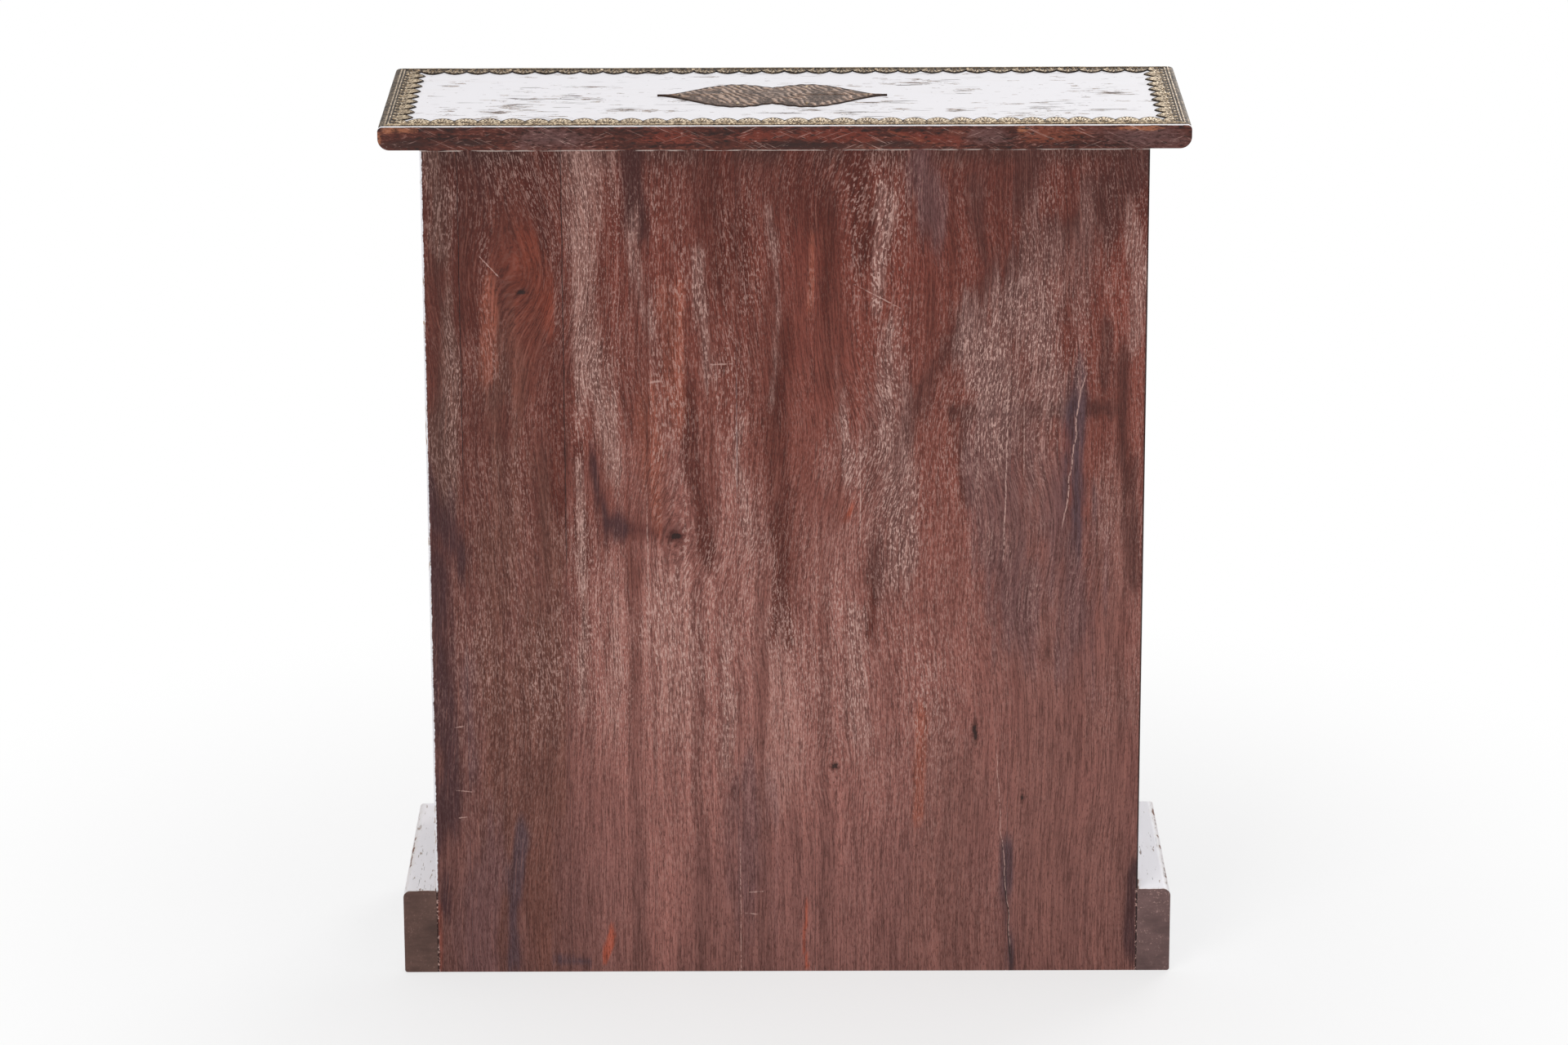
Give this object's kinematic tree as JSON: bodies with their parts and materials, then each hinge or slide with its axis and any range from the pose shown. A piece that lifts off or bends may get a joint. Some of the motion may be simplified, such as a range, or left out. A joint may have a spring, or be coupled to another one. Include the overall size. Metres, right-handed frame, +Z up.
{
  "type": "chest of drawers",
  "caption": "Shallow chest with short drawers over long ones, a white distressed finish, an overhanging top edged with pressed brass strips, a mitred plinth and a plain wooden back.",
  "frame": {"origin": "on the floor, under the middle of the top board", "axes": "+Z up, -Y towards the front where the drawers open, +X to the right of a person facing it"},
  "size_m": [0.9, 0.31, 1.0026],
  "materials": {
    "white_paint": "worn white paint with brown grain cracks",
    "stained_wood": "worn red-brown stain",
    "raw_wood": "bare planed wood",
    "antique_brass": "pressed sheet, tarnished in the hollows",
    "steel": "plain"
  },
  "bodies": {
    "carcass": {"top_board": "white_paint", "side_panel_left": "white_paint", "side_panel_right": "white_paint", "back_boards": "stained_wood", "plinth_front": "white_paint", "plinth_left": "white_paint", "plinth_right": "white_paint", "top_rail": "white_paint", "drawer_rail_1": "white_paint", "drawer_rail_2": "white_paint", "drawer_rail_3": "white_paint", "bottom_rail": "white_paint", "muntin": "white_paint", "partition": "raw_wood", "runners": "raw_wood", "drawer_stops": "raw_wood", "bottom_panel": "raw_wood", "glue_blocks": "raw_wood", "top_strip_front": "antique_brass", "top_strip_back": "antique_brass", "top_strip_left": "antique_brass", "top_strip_right": "antique_brass", "top_medallion": "antique_brass", "brass_pins": "antique_brass", "top_screws": "steel"},
    "drawer_1": {"drawer_1_front": "white_paint", "drawer_1_side_left": "raw_wood", "drawer_1_side_right": "raw_wood", "drawer_1_back": "raw_wood", "drawer_1_base": "raw_wood", "drawer_1_knobs": "antique_brass", "drawer_1_border": "antique_brass"},
    "drawer_2": {"drawer_2_front": "white_paint", "drawer_2_side_left": "raw_wood", "drawer_2_side_right": "raw_wood", "drawer_2_back": "raw_wood", "drawer_2_base": "raw_wood", "drawer_2_knobs": "antique_brass", "drawer_2_border": "antique_brass"},
    "drawer_3": {"drawer_3_front": "white_paint", "drawer_3_side_left": "raw_wood", "drawer_3_side_right": "raw_wood", "drawer_3_back": "raw_wood", "drawer_3_base": "raw_wood", "drawer_3_knobs": "antique_brass", "drawer_3_border": "antique_brass"},
    "drawer_4": {"drawer_4_front": "white_paint", "drawer_4_side_left": "raw_wood", "drawer_4_side_right": "raw_wood", "drawer_4_back": "raw_wood", "drawer_4_base": "raw_wood", "drawer_4_knobs": "antique_brass", "drawer_4_border": "antique_brass"},
    "drawer_5": {"drawer_5_front": "white_paint", "drawer_5_side_left": "raw_wood", "drawer_5_side_right": "raw_wood", "drawer_5_back": "raw_wood", "drawer_5_base": "raw_wood", "drawer_5_knobs": "antique_brass", "drawer_5_border": "antique_brass"}
  },
  "joints": [
    {"name": "drawer_1_slide", "type": "slide", "parent": "carcass", "child": "drawer_1", "axis": [0, -1, 0], "range_m": [0, 0.17]},
    {"name": "drawer_2_slide", "type": "slide", "parent": "carcass", "child": "drawer_2", "axis": [0, -1, 0], "range_m": [0, 0.17]},
    {"name": "drawer_3_slide", "type": "slide", "parent": "carcass", "child": "drawer_3", "axis": [0, -1, 0], "range_m": [0, 0.17]},
    {"name": "drawer_4_slide", "type": "slide", "parent": "carcass", "child": "drawer_4", "axis": [0, -1, 0], "range_m": [0, 0.17]},
    {"name": "drawer_5_slide", "type": "slide", "parent": "carcass", "child": "drawer_5", "axis": [0, -1, 0], "range_m": [0, 0.17]}
  ]
}
